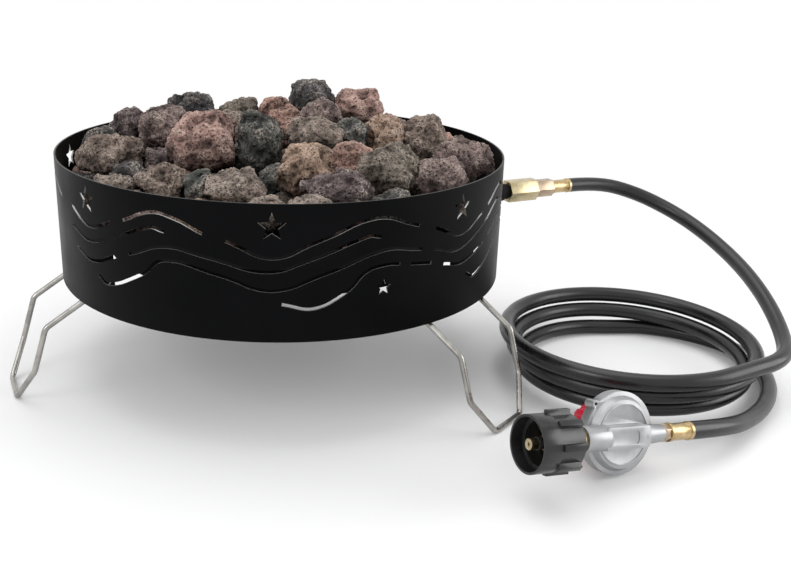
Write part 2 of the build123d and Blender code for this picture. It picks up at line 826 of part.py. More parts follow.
def coil_way(travel):
    """The coil's direction there, along the travel."""
    left = (coil_sweep - travel) / 360
    angle = radians(coil_start - travel)
    radius = coil_inner_radius + coil_growth * left
    per_radian = 1 / (2 * pi)
    inward = -coil_growth * per_radian
    down = -(coil_climb + (coil_lift if left < 1 else 0)) * per_radian
    return Vector(
        radius * sin(angle) + inward * cos(angle),
        -radius * cos(angle) + inward * sin(angle),
        down,
    ).normalized()


def add_hose(line):
    """The hose's section swept along a line."""
    with BuildSketch(Plane(origin=line @ 0, z_dir=line % 0)) as section:
        Circle(hose_radius)
        Circle(hose_bore / 2, mode=Mode.SUBTRACT)
    sweep(section.sketch, path=line)


def say_hose(name, part, line, radii):
    """Print the bends, and the volume beside the section times the length."""
    section = pi * (hose_radius**2 - (hose_bore / 2) ** 2)
    length = sum(edge.length for edge in line.edges())
    share = part.volume / (section * length)
    bends = [round(radius) for radius in radii]
    print(name, "length", round(length), "radii", bends, "volume share", round(share, 4))


quarter_turns = ceil(coil_sweep / 90)
coil_steps = [coil_sweep * i / quarter_turns for i in range(quarter_turns + 1)]
coil_points = [coil_point(step) for step in coil_steps]
coil_ways = [coil_way(step) for step in coil_steps]
end_way = Vector(coil_ways[-1].X, coil_ways[-1].Y, 0).normalized()
coil_ways[-1] = end_way
coil_head = coil_points[0] - coil_ways[0] * hose_diameter
coil_foot = coil_points[-1] + end_way * hose_diameter
with BuildPart() as hose_coil:
    with BuildLine() as coil_line:
        Line(coil_head, coil_points[0])
        smooth_arcs(coil_points, coil_ways)
        Line(coil_points[-1], coil_foot)
    add_hose(coil_line.line)
finish(hose_coil, "hose_coil")
coil_radii = [edge.radius for edge in coil_line.line.edges().filter_by(GeomType.CIRCLE)]
say_hose("hose_coil", hose_coil.part, coil_line.line, coil_radii)

fine_steps = 720
fine = [coil_point(coil_sweep * i / fine_steps) for i in range(fine_steps + 1)]
half_turn_steps = int(fine_steps * 180 / coil_sweep)
least_gap = min(
    (a - b).length
    for i, a in enumerate(fine)
    for b in fine[i + half_turn_steps:]
) - hose_diameter
print("hose_coil least gap to itself", round(least_gap, 2))

inlet_way = inlet_plane(0).z_dir
lead_from = Vector(*around(inlet_azimuth, pit_ferrule_end, 0, inlet_height))
lead_route = [lead_from, lead_from + inlet_way * lead_first_run]
lead_route += [Vector(*point) for point in lead_points]
lead_route += [coil_head - coil_ways[0] * lead_last_run, coil_head]
lead_radii = bend_radii(lead_route, bend_share)
with BuildPart() as hose_lead:
    with BuildLine() as lead_line:
        FilletPolyline(*lead_route, radius=lead_radii)
    add_hose(lead_line.line)
finish(hose_lead, "hose_lead")
say_hose("hose_lead", hose_lead.part, lead_line.line, lead_radii)

regulator_stem_start = outlet_end - outlet_socket_depth
stem_collar_end = outlet_end + outlet_collar_length
regulator_ferrule_end = stem_collar_end + regulator_ferrule_length
tail_to = mouth + flow_way * regulator_ferrule_end
tail_route = [coil_foot, coil_foot + end_way * (tail_run - hose_diameter)]
tail_route += [Vector(*point) for point in tail_points]
tail_route += [tail_to + flow_way * tail_run, tail_to]
tail_radii = bend_radii(tail_route, bend_share)
with BuildPart() as hose_tail:
    with BuildLine() as tail_line:
        FilletPolyline(*tail_route, radius=tail_radii)
    add_hose(tail_line.line)
finish(hose_tail, "hose_tail")
say_hose("hose_tail", hose_tail.part, tail_line.line, tail_radii)

with BuildPart() as hose_ferrule_regulator_end:
    add_ferrule(flow_plane(stem_collar_end), regulator_ferrule_length)
finish(hose_ferrule_regulator_end, "hose_ferrule_regulator_end")

regulator_stem_end = regulator_ferrule_end + stem_reach
with BuildPart() as hose_stem_regulator_end:
    add_round(flow_plane(regulator_stem_start), 2 * outlet_stem_radius, outlet_socket_depth)
    add_hex(flow_plane(outlet_end), outlet_collar_flats, outlet_collar_length)
    add_round(flow_plane(stem_collar_end), 2 * stem_radius, regulator_stem_end - stem_collar_end)
    stem_length = regulator_stem_end - regulator_stem_start
    add_round(flow_plane(regulator_stem_start), stem_radius, stem_length, Mode.SUBTRACT)
finish(hose_stem_regulator_end, "hose_stem_regulator_end")

# Regulator body: a rim crimped over the bonnet, a beaded dome and the gas channel that crosses it
seat_end = lever_tip_s - pad_thickness - pad_opening
seat_start = seat_end - seat_length
flange_front = flange_back + flange_thickness
bonnet_face = flange_back - diaphragm_thickness
bonnet_back = bonnet_face - flange_thickness
crimp_front = bonnet_back - crimp_play
crimp_back = crimp_front - crimp_lip
crimp_inner = housing_radius - crimp_wall
with BuildPart() as regulator_body:
    add_round(face_plane(crimp_back), 2 * housing_radius, flange_front - crimp_back)
    chamfer(regulator_body.edges().filter_by(GeomType.CIRCLE).sort_by(Axis(mouth, face_way))[0], crimp_bevel)
    with BuildSketch(face_plane(crimp_back)):
        with PolarLocations(ear_reach, 1, start_angle=ear_angle):
            Circle(ear_radius)
        with PolarLocations(ear_hole_reach, 1, start_angle=ear_angle):
            Circle(ear_hole_radius, mode=Mode.SUBTRACT)
    extrude(amount=flange_front - crimp_back)
    crimp_mouth = 2 * (crimp_inner - crimp_reach)
    add_round(face_plane(crimp_back), crimp_mouth, flange_back - crimp_back, Mode.SUBTRACT)
    add_round(face_plane(crimp_front), 2 * crimp_inner, flange_back - crimp_front, Mode.SUBTRACT)
    with BuildSketch(face_plane(flange_front)):
        Circle(dome_radius)
    extrude(amount=dome_top - flange_front, taper=dome_taper)
    with BuildSketch(face_plane(dome_top)):
        Circle(dome_bead_radius)
        Circle(dome_bead_radius - dome_bead_width, mode=Mode.SUBTRACT)
    extrude(amount=dome_bead_height)
    add_round(flow_plane(inlet_boss_start), 2 * inlet_boss_radius, inlet_boss_end - inlet_boss_start)
    with BuildSketch(face_plane(-block_depth, (block_start + block_end) / 2)):
        RectangleRounded(block_end - block_start, 2 * block_half_width, block_round)
    extrude(amount=2 * block_depth)
    with BuildSketch(flow_plane(block_end - block_round)):
        Circle(outlet_radius)
    extrude(amount=outlet_end - block_end + block_round, taper=outlet_taper)
    with BuildSketch(face_plane(block_depth - panel_depth, (panel_start + panel_end) / 2)):
        RectangleRounded(panel_end - panel_start, 2 * panel_half_width, block_round)
    extrude(amount=panel_depth, mode=Mode.SUBTRACT)
    add_round(face_plane(flange_back), 2 * chamber_radius, chamber_top - flange_back, Mode.SUBTRACT)
    with BuildSketch(face_plane(flange_back, (well_start + well_end) / 2)):
        Rectangle(well_end - well_start, 2 * well_half_width)
    extrude(amount=well_top - flange_back, mode=Mode.SUBTRACT)
    add_round(flow_plane(inlet_boss_start), 2 * (nipple_spigot_radius + thread_gap),
              nipple_spigot_length, Mode.SUBTRACT)
    add_round(flow_plane(inlet_boss_start), 2 * (gas_bore_radius + thread_gap),
              well_start - inlet_boss_start, Mode.SUBTRACT)
    add_round(flow_plane(well_end), 2 * gas_bore_radius, outlet_end - well_end, Mode.SUBTRACT)
    add_round(flow_plane(regulator_stem_start), 2 * (outlet_stem_radius + thread_gap),
              outlet_socket_depth, Mode.SUBTRACT)
    with BuildSketch(side_plane(lever_pin_length / 2)):
        with Locations((lever_pivot_s, lever_pivot_d)):
            Circle(lever_pin_radius + lever_pin_gap)
    extrude(amount=lever_pin_length, mode=Mode.SUBTRACT)
finish(regulator_body, "regulator_body")

# Bonnet behind the diaphragm: its profile is radius and depth, turned about the housing's axis
cone_back = bonnet_back - bonnet_cone_depth
tower_back = cone_back - tower_length
tower_inside = tower_back + tower_cap
tower_bore = tower_radius - tower_wall
cavity_end = bonnet_face - bonnet_cavity_depth
housing_axis = Axis(origin=mouth + flow_way * housing_s, direction=face_way)
bonnet_profile = [
    (0, tower_back),
    (tower_radius, tower_back),
    (tower_radius, cone_back),
    (bonnet_cone_radius, bonnet_back),
    (crimp_inner - thread_gap, bonnet_back),
    (crimp_inner - thread_gap, bonnet_face),
    (bonnet_cavity_radius, bonnet_face),
    (bonnet_cavity_radius, cavity_end),
    (tower_bore, cone_back),
    (tower_bore, tower_inside),
    (0, tower_inside),
]
with BuildPart() as regulator_bonnet:
    with BuildSketch(flow_plane(housing_s)):
        with BuildLine():
            Polyline(*bonnet_profile, close=True)
        make_face()
    revolve(axis=housing_axis)
    add_round(face_plane(tower_back), 2 * (adjuster_radius + thread_gap), tower_cap, Mode.SUBTRACT)
finish(regulator_bonnet, "regulator_bonnet")

with BuildPart() as diaphragm:
    add_round(face_plane(bonnet_face), 2 * diaphragm_radius, diaphragm_thickness)
    add_round(face_plane(bonnet_face), 2 * diaphragm_hole, diaphragm_thickness, Mode.SUBTRACT)
finish(diaphragm, "diaphragm")

plate_front = bonnet_face - plate_gap
plate_back = plate_front - plate_thickness
post_top = lever_foot_d - post_gap
with BuildPart() as diaphragm_plate:
    add_round(face_plane(plate_back), 2 * plate_radius, plate_thickness)
    add_round(face_plane(plate_front), 2 * post_radius, post_top - plate_front)
finish(diaphragm_plate, "diaphragm_plate")

spring_front = plate_back - spring_wire / 2 - spring_seat
spring_run = spring_turns * spring_pitch
with BuildPart() as range_spring:
    with BuildLine() as spring_line:
        Helix(spring_pitch, spring_run, spring_radius,
              center=housing_axis.position + face_way * spring_front, direction=face_way * -1)
    with BuildSketch(Plane(origin=spring_line.line @ 0, z_dir=spring_line.line % 0)):
        Circle(spring_wire / 2)
    sweep(is_frenet=True)
finish(range_spring, "range_spring")

button_front = spring_front - spring_run - spring_wire / 2 - spring_play
button_back = button_front - button_thickness
with BuildPart() as spring_button:
    add_round(face_plane(button_back), 2 * (tower_bore - button_gap), button_thickness)
finish(spring_button, "spring_button")

adjuster_back = button_back - adjuster_length
with BuildPart() as adjusting_screw:
    add_round(face_plane(adjuster_back), 2 * adjuster_radius, adjuster_length)
finish(adjusting_screw, "adjusting_screw")

knob_back = adjuster_back - knob_cap
with BuildPart() as pressure_knob:
    with BuildSketch(face_plane(knob_back)):
        Circle(knob_radius)
        with PolarLocations(knob_radius + knob_flute_radius - knob_flute_depth, knob_flutes):
            Circle(knob_flute_radius, mode=Mode.SUBTRACT)
    extrude(amount=knob_depth)
    add_round(face_plane(adjuster_back), 2 * (knob_radius - knob_wall), knob_depth, Mode.SUBTRACT)
finish(pressure_knob, "pressure_knob")

# Valve inside the body: a bent lever on a pin, its pad and the seat it closes
half_tip = lever_tip_height / 2
lever_outline = [
    (lever_foot_s, lever_foot_d),
    (lever_pivot_s + lever_web / 2, lever_foot_d),
    (lever_pivot_s + lever_web / 2, half_tip),
    (lever_tip_s, half_tip),
    (lever_tip_s, -half_tip),
    (lever_pivot_s - lever_web / 2, -half_tip),
    (lever_pivot_s - lever_web / 2, lever_foot_d + lever_foot_thickness),
    (lever_foot_s, lever_foot_d + lever_foot_thickness),
]
with BuildPart() as valve_lever:
    with BuildSketch(side_plane(lever_width / 2)):
        with BuildLine():
            Polyline(*lever_outline, close=True)
        make_face()
        with Locations((lever_pivot_s, lever_pivot_d)):
            Circle(lever_boss)
            Circle(lever_pin_radius + lever_pin_gap, mode=Mode.SUBTRACT)
    extrude(amount=lever_width)
finish(valve_lever, "valve_lever")

with BuildPart() as lever_pin:
    with BuildSketch(side_plane(lever_pin_length / 2)):
        with Locations((lever_pivot_s, lever_pivot_d)):
            Circle(lever_pin_radius)
    extrude(amount=lever_pin_length)
finish(lever_pin, "lever_pin")

with BuildPart() as valve_pad:
    add_round(flow_plane(lever_tip_s - pad_thickness), 2 * pad_radius, pad_thickness)
finish(valve_pad, "valve_pad")

with BuildPart() as inlet_seat:
    add_round(flow_plane(seat_start), 2 * gas_bore_radius, seat_length)
    add_round(flow_plane(seat_start), 2 * seat_hole, seat_length, Mode.SUBTRACT)
finish(inlet_seat, "inlet_seat")

# Gas cylinder connection: nipple, seal ring, bush and hand nut
nipple_start = nipple_tip_s + nipple_tip_length
nipple_end = inlet_boss_start + nipple_spigot_length
with BuildPart() as inlet_nipple:
    add_round(flow_plane(nipple_tip_s), 2 * nipple_tip_radius, nipple_tip_length)
    add_round(flow_plane(nipple_start), 2 * nipple_radius, collar_start - nipple_start)
    add_round(flow_plane(collar_start), 2 * collar_radius, inlet_boss_start - collar_start)
    add_round(flow_plane(inlet_boss_start), 2 * nipple_spigot_radius, nipple_spigot_length)
    add_round(flow_plane(nipple_tip_s), 2 * nipple_bore_radius, nipple_end - nipple_tip_s, Mode.SUBTRACT)
    with BuildSketch(flow_plane(seal_at)):
        Circle(nipple_tip_radius + cut_margin)
        Circle(seal_groove, mode=Mode.SUBTRACT)
    extrude(amount=seal_width, mode=Mode.SUBTRACT)
finish(inlet_nipple, "inlet_nipple")

with BuildPart() as nipple_seal:
    with BuildSketch(flow_plane(seal_at + seal_gap)):
        Circle(seal_radius)
        Circle(seal_groove + seal_gap, mode=Mode.SUBTRACT)
    extrude(amount=seal_width - 2 * seal_gap)
finish(nipple_seal, "nipple_seal")

bush_flange_end = nut_bore_depth - bush_gap
bush_end = collar_start - bush_gap
with BuildPart() as nut_bush:
    add_round(flow_plane(bush_flange_end - bush_flange), 2 * bush_flange_radius, bush_flange)
    add_round(flow_plane(bush_flange_end), 2 * (nipple_radius + bush_wall), bush_end - bush_flange_end)
    add_round(flow_plane(bush_flange_end - bush_flange), 2 * (nipple_radius + thread_gap),
              bush_end - bush_flange_end + bush_flange, Mode.SUBTRACT)
finish(nut_bush, "nut_bush")

with BuildPart() as cylinder_nut:
    add_round(flow_plane(0), 2 * nut_radius, nut_front)
    add_round(flow_plane(nut_front), 2 * nut_core_radius, nut_length - nut_front)
    with BuildSketch(flow_plane(nut_front)):
        Circle(nut_core_radius)
        with PolarLocations(nut_rib_radius / 2, nut_rib_count):
            Rectangle(nut_rib_radius, nut_rib_width)
    extrude(amount=nut_rib_end - nut_front)
    add_round(flow_plane(0), 2 * nut_bore_radius, nut_bore_depth, Mode.SUBTRACT)
    add_round(flow_plane(0), 2 * nut_mouth_radius, nut_mouth_depth, Mode.SUBTRACT)
    add_round(flow_plane(0), 2 * (nipple_radius + bush_wall + nut_run_gap), nut_length, Mode.SUBTRACT)
finish(cylinder_nut, "cylinder_nut")

# Lava rocks: faceted stones that lean on one another, each cut back from its neighbours
for name, angles, radius, height, size in rock_rings:
    rows = rock_rows.setdefault(name, [])
    for angle in angles:
        x, y, z = around(angle, radius, 0, height)
        rows.append((x, y, z, *size))
stones = []
for name, rows in rock_rows.items():
    for x, y, z, *size in rows:
        stones.append((name, Vector(x, y, z), size))


def stone_reach(size, way):
    """How far a stone's rounded form reaches from its middle along a direction."""
    return sqrt((size[0] * way.X) ** 2 + (size[1] * way.Y) ** 2 + (size[2] * way.Z) ** 2) / 2


def facet_planes(centre, size, chance):
    """Planes all round a stone, each set in by its own share."""
    golden_turn = pi * (3 - sqrt(5))
    spin = chance.uniform(0, 2 * pi)
    planes = []
    for i in range(rock_facets):
        high = 1 - (2 * i + 1) / rock_facets
        wide = sqrt(1 - high**2)
        angle = spin + golden_turn * i
        jolt = Vector(*[chance.uniform(-rock_jolt, rock_jolt) for axis in range(3)])
        way = (Vector(wide * cos(angle), wide * sin(angle), high) + jolt).normalized()
        reach = stone_reach(size, way) * chance.uniform(rock_least, rock_most)
        planes.append(Plane(origin=centre + way * reach, z_dir=way))
    return planes


def neighbour_planes(index):
    """Planes halfway to each stone that this one would run into."""
    name, centre, size = stones[index]
    planes = []
    for other, (other_name, other_centre, other_size) in enumerate(stones):
        if other == index:
            continue
        span = other_centre - centre
        way = span.normalized()
        reach = stone_reach(size, way)
        other_reach = stone_reach(other_size, way)
        if reach + other_reach > rock_nearness * span.length:
            share = span.length * reach / (reach + other_reach)
            planes.append(Plane(origin=centre + way * (share - rock_gap / 2), z_dir=way))
    return planes


def hearth_planes(centre):
    """Planes that keep a stone off the pan, the ring's wall, the burner and the mixer tube."""
    radius = hypot(centre.X, centre.Y)
    azimuth = degrees(atan2(centre.Y, centre.X))
    in_bowl = centre.Z < pan_floor
    wall = (bowl_radius if in_bowl else pan_radius) - pan_sheet - rim_clearance
    planes = []
    for step in (-rim_step, 0, rim_step):
        away = Vector(*around(azimuth + step, 1, 0, 0))
        planes.append(Plane(origin=away * wall, z_dir=away))
    if radius > burner_keep_out:
        floor = bowl_top if in_bowl else pan_top
        inward = Vector(*around(azimuth, -1, 0, 0))
        planes.append(Plane(origin=inward * -(burner_radius + saddle_length / 2 + rock_gap), z_dir=inward))
    else:
        floor = burner_axis + hub_height / 2
    planes.append(Plane(origin=(0, 0, floor + rock_gap / 2), z_dir=(0, 0, -1)))
    from_inlet = radians(azimuth - inlet_azimuth)
    if in_bowl and cos(from_inlet) > 0:
        side = 1 if sin(from_inlet) > 0 else -1
        beside = Vector(*around(inlet_azimuth, 0, side * (mixer_diameter / 2 + rock_gap), 0))
        planes.append(Plane(origin=beside, z_dir=beside * -1))
    return planes


def stone(index):
    name, centre, size = stones[index]
    planes = facet_planes(centre, size, Random(index + rock_seed))
    planes += neighbour_planes(index) + hearth_planes(centre)
    with BuildPart() as rough:
        with Locations(centre):
            Box(*size)
        for plane in planes:
            split(bisect_by=plane, keep=Keep.BOTTOM)
    return rough.part


for group in rock_rows:
    rocks = [stone(i) for i in range(len(stones)) if stones[i][0] == group]
    with BuildPart() as lava_rocks:
        add(rocks)
    finish(lava_rocks, group)
    print(group, len(rocks), "stones, smallest", round(min(rock.volume for rock in rocks)))
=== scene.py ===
import bpy
import json
import math
import random
from mathutils import Matrix, Vector


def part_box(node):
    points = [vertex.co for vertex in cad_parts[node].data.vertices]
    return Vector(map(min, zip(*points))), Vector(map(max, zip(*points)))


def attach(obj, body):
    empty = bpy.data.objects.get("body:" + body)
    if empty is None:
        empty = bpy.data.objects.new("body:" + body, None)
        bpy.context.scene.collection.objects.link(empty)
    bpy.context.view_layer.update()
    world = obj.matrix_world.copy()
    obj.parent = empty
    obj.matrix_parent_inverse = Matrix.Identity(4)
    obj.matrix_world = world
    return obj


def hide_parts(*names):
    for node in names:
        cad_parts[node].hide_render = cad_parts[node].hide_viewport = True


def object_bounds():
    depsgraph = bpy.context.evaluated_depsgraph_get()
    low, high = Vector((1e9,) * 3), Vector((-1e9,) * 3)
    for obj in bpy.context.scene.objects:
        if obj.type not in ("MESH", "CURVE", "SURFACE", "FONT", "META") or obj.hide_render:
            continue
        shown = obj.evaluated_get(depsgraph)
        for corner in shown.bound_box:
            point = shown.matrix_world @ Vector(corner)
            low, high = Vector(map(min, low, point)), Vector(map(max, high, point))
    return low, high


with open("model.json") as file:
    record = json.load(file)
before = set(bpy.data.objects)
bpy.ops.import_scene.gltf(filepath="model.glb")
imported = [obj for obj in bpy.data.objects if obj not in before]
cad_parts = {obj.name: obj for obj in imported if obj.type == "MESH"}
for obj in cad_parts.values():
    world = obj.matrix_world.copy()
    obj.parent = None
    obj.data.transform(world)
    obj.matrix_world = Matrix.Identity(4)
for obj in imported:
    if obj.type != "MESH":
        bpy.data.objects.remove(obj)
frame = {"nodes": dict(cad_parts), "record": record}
cadNodes = frame["nodes"]
cadBox = [list(corner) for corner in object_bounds()]
bodyOf = {name: body for body, names in frame["record"]["behaviour"]["bodies"].items() for name in names}
scene = bpy.context.scene
scene.view_settings.view_transform = "Standard"
mmPerMetre = 1000
print("frame loaded,", len(cadNodes), "nodes")


# selection helpers
def pickOnly(obj):
    bpy.ops.object.select_all(action="DESELECT")
    obj.select_set(True)
    bpy.context.view_layer.objects.active = obj


def applyModifiers(obj):
    pickOnly(obj)
    for modifier in list(obj.modifiers):
        bpy.ops.object.modifier_apply(modifier=modifier.name)


mergeGap = 0.00001


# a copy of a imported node, with its loose triangles merged, left in edit mode with all selected
def copyNode(name):
    node = cadNodes[name]
    piece = node.copy()
    piece.data = node.data.copy()
    piece.parent = None
    scene.collection.objects.link(piece)
    pickOnly(piece)
    bpy.ops.object.mode_set(mode="EDIT")
    bpy.ops.mesh.select_all(action="SELECT")
    bpy.ops.mesh.remove_doubles(threshold=mergeGap)
    return piece


# a new piece takes the place and the body of a imported node
def standFor(piece, name):
    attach(piece, bodyOf[name])
    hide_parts(name)


# camera, where the photograph was taken from
photoCamera = {
    "place": (0.1078, -0.9297, 0.4046),
    "tilt": 70.14,              # degrees up from straight down
    "roll": 2.12,
    "focalPixels": 1018.0,
    "imageWidth": 791,
    "sensor": 36.0,
}


def setCamera(look):
    data = bpy.data.cameras.new("photoCamera")
    data.sensor_width = look["sensor"]
    data.lens = look["sensor"] * look["focalPixels"] / look["imageWidth"]
    camera = bpy.data.objects.new("photoCamera", data)
    scene.collection.objects.link(camera)
    tilt = Matrix.Rotation(math.radians(look["tilt"]), 4, "X")
    roll = Matrix.Rotation(math.radians(look["roll"]), 4, "Z")
    camera.matrix_world = Matrix.Translation(look["place"]) @ tilt @ roll
    scene.camera = camera


setCamera(photoCamera)
print("camera set")

# gas hose: one spline from the pit's ferrule through the coil to the regulator's ferrule
hoseLook = {
    "diameter": 0.015,
    "length": 2.698,
    "pitEnd": (0.29155, 0.15502, 0.1405),
    "pitAzimuth": 28.0,
    "firstRun": 0.040,
    "leadPoints": [
        (0.371, 0.177, 0.1295),
        (0.410, 0.160, 0.1145),
        (0.436, 0.127, 0.1020),
        (0.456, 0.085, 0.0885),
        (0.467, 0.041, 0.0770),
        (0.4725, -0.004, 0.0640),
        (0.471, -0.050, 0.0515),
    ],
    "lastRun": 0.038,
    "tailPoints": [
        (0.419, 0.064, 0.0075),
        (0.451, 0.035, 0.0075),
        (0.466, -0.008, 0.0075),
        (0.463, -0.056, 0.0075),
        (0.444, -0.102, 0.0080),
        (0.414, -0.143, 0.0120),
    ],
    "tailRun": 0.040,
    "order": 3,
    "stepsAlong": 6,            # between two points
    "stepsRound": 6,
}
coilLook = {
    "centre": (0.335, -0.026),
    "innerRadius": 0.102,
    "growth": 0.0075,           # wider by this much for each turn up
    "climb": 0.0146,
    "lift": 0.0020,             # the lowest turn climbs this much more
    "start": -50.0,
    "sweep": 940.0,
    "pointsPerTurn": 24,
}
regulatorLook = {
    "mouth": (0.2076, -0.2713, 0.0506),
    "azimuth": 27.6,
    "dip": 7.7,
    "hoseEnd": 0.1585,          # ferrule's end, from the nut's mouth along the flow
}
flowTurn = math.radians(regulatorLook["azimuth"])
flowDip = math.radians(regulatorLook["dip"])
flowWay = Vector((
    math.cos(flowTurn) * math.cos(flowDip),
    math.sin(flowTurn) * math.cos(flowDip),
    -math.sin(flowDip),
))


def coilPoints(coil, hoseRadius):
    count = round(coil["sweep"] / 360 * coil["pointsPerTurn"])
    swell = 1 / math.cos(math.pi / coil["pointsPerTurn"])       # a spline runs inside its points
    points = []
    for i in range(count + 1):
        left = coil["sweep"] / 360 * (1 - i / count)            # turns still to go
        angle = math.radians(coil["start"] - coil["sweep"] * i / count)
        radius = (coil["innerRadius"] + coil["growth"] * left) * swell
        points.append(Vector((
            coil["centre"][0] + radius * math.cos(angle),
            coil["centre"][1] + radius * math.sin(angle),
            hoseRadius + coil["climb"] * left + coil["lift"] * min(left, 1),
        )))
    return points


def hoseRoute(hose, coil):
    pitTurn = math.radians(hose["pitAzimuth"])
    pitEnd = Vector(hose["pitEnd"])
    pitWay = Vector((math.cos(pitTurn), math.sin(pitTurn), 0))
    turns = coilPoints(coil, hose["diameter"] / 2)
    startWay = (turns[1] - turns[0]).normalized()
    endWay = (turns[-1] - turns[-2]).normalized()
    endWay.z = 0
    coilHead = turns[0] - startWay * hose["diameter"]
    regulatorEnd = Vector(regulatorLook["mouth"]) + flowWay * regulatorLook["hoseEnd"]
    route = [pitEnd, pitEnd + pitWay * hose["firstRun"]]
    route += [Vector(point) for point in hose["leadPoints"]]
    route += [coilHead - startWay * hose["lastRun"]]
    route += turns
    route += [turns[-1] + endWay * hose["tailRun"]]
    route += [Vector(point) for point in hose["tailPoints"]]
    route += [regulatorEnd + flowWay * hose["tailRun"], regulatorEnd]
    return route


def makeHose(hose, coil):
    route = hoseRoute(hose, coil)
    data = bpy.data.curves.new("gasHose", "CURVE")
    data.dimensions = "3D"
    line = data.splines.new("NURBS")
    line.points.add(len(route) - 1)
    for point, place in zip(line.points, route):
        point.co = (*place, 1)
        point.radius = hose["diameter"] / 2
    line.order_u = hose["order"]
    line.use_endpoint_u = True
    line.resolution_u = hose["stepsAlong"]
    data.bevel_depth = 1.0                                      # the points hold the hose's radius
    data.bevel_resolution = hose["stepsRound"]
    data.use_fill_caps = True
    piece = bpy.data.objects.new("gasHose", data)
    scene.collection.objects.link(piece)
    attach(piece, "pit")
    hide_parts("hose_lead", "hose_coil", "hose_tail")
    return piece


gasHose = makeHose(hoseLook, coilLook)
print("hose laid")

# machined and moulded pieces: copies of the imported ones, with their sharp edges broken
edgeLook = {
    "sharp": 32.0,              # degrees, from which an edge is broken
    "flat": 0.6,                # degrees, under which two faces are one
    "segments": 2,
    "widths": {
        "inlet_coupling": 0.0008,
        "hose_nut": 0.0007,
        "hose_ferrule_pit_end": 0.0006,
        "hose_ferrule_regulator_end": 0.0006,
        "hose_stem_regulator_end": 0.0004,
        "regulator_body": 0.0006,
        "regulator_bonnet": 0.0006,
        "pressure_knob": 0.0010,
        "cylinder_nut": 0.0008,
        "nut_bush": 0.0004,
        "inlet_nipple": 0.0004,
        "mixer_lock_nuts": 0.0005,
        "air_shutter": 0.0004,
    },
}


def breakEdges(name, width, look):
    piece = copyNode(name)
    bpy.ops.mesh.dissolve_limited(angle_limit=math.radians(look["flat"]))
    bpy.ops.object.mode_set(mode="OBJECT")
    bevel = piece.modifiers.new("brokenEdges", "BEVEL")
    bevel.width = width
    bevel.segments = look["segments"]
    bevel.limit_method = "ANGLE"
    bevel.angle_limit = math.radians(look["sharp"])
    applyModifiers(piece)
    bpy.ops.object.shade_smooth_by_angle(angle=math.radians(look["sharp"]))
    words = name.split("_")
    piece.name = words[0] + "".join(word.capitalize() for word in words[1:])
    standFor(piece, name)
    return piece


brokenPieces = {name: breakEdges(name, width, edgeLook) for name, width in edgeLook["widths"].items()}


# the piece that is seen for a node: its copy with broken edges, or the node itself
def shown(name):
    return brokenPieces.get(name, cadNodes[name])


print("edges broken on", len(brokenPieces), "pieces")

# lava rocks: each packed stone on its own, worn and roughened
stoneLook = {
    "voxel": 0.00115,
    "bedVoxel": 0.0024,
    "rounding": 3,              # smoothing steps that wear the facets' edges
    "leastRounding": 3,         # and this many more on every stone
    "roundingFactor": 0.5,
    "lumps": {"kind": "CLOUDS", "size": 0.013, "depth": 0.0085, "level": 0.66},
    "craters": {"kind": "VORONOI", "size": 0.0060, "depth": 0.0026, "level": 0.50},
    "pits": {"kind": "VORONOI", "size": 0.0030, "depth": 0.0018, "level": 0.45},
    "lumpDetail": 3,
    "shadeLow": -0.9,           # painted shade, in half heights from a stone's middle: darkest at this height
    "shadeHigh": 0.32,          # and lit in full from this one
    # least share of painted light, at a stone's bottom
    "underside": 0.06,
    "shades": (0.9, 1.1),       # how much one stone may be darker or lighter than its tint
    "seed": 7,
    "seedStep": 31,
    "reach": 0.022,             # how near a listed stone must be to take its tint
}
# each tint, and where the stones that have it lie in the heap
stoneTints = {
    "tanBrown": {
        "colour": (0.165, 0.127, 0.106),
        "places": [(-0.141, -0.060, 0.199), (-0.086, -0.118, 0.193), (0.128, 0.002, 0.211)],
    },
    "tanGrey": {
        "colour": (0.200, 0.162, 0.138),
        "places": [(-0.022, -0.142, 0.197), (-0.054, 0.036, 0.212), (0.031, -0.036, 0.219),
                   (0.041, -0.176, 0.189), (0.005, -0.172, 0.188)],
    },
    "tanYellow": {
        "colour": (0.275, 0.190, 0.142),
        "places": [(0.030, -0.112, 0.206), (0.092, 0.000, 0.215)],
    },
    "mauve": {
        "colour": (0.165, 0.122, 0.113),
        "places": [(-0.114, 0.014, 0.213), (0.035, 0.004, 0.228), (0.140, -0.090, 0.197),
                   (0.156, -0.040, 0.201), (0.174, -0.008, 0.196), (0.166, 0.034, 0.193)],
    },
    "darkMauve": {
        "colour": (0.092, 0.071, 0.071),
        "places": [(-0.150, 0.030, 0.209), (-0.106, -0.048, 0.194), (0.061, -0.145, 0.201)],
    },
    "redBrown": {
        "colour": (0.262, 0.168, 0.145),
        "places": [(-0.062, -0.060, 0.218), (0.066, 0.042, 0.233)],
    },
    "salmon": {
        "colour": (0.290, 0.178, 0.146),
        "places": [(0.000, 0.014, 0.216), (-0.018, 0.082, 0.218)],
    },
    "darkGrey": {
        "colour": (0.064, 0.061, 0.061),
        "places": [(-0.166, -0.008, 0.200), (-0.098, 0.072, 0.219), (0.022, 0.042, 0.241)],
    },
    "olive": {
        "colour": (0.152, 0.130, 0.108),
        "places": [(0.099, -0.094, 0.204), (-0.052, 0.080, 0.214)],
    },
    "greenGrey": {
        "colour": (0.069, 0.071, 0.066),
        "places": [(-0.018, -0.052, 0.214), (0.062, -0.014, 0.216), (-0.051, -0.130, 0.194)],
    },
}
stoneGroups = ["left", "middle", "right", "front", "crown", "rear", "bed", "bowl", "hearth"]
buriedGroups = ["bed", "bowl", "hearth"]


def stoneTextures(look):
    textures = {}
    for name in ("lumps", "craters", "pits"):
        texture = bpy.data.textures.new("stone" + name.capitalize(), look[name]["kind"])
        texture.noise_scale = look[name]["size"]
        textures[name] = texture
    textures["lumps"].noise_depth = look["lumpDetail"]
    return textures


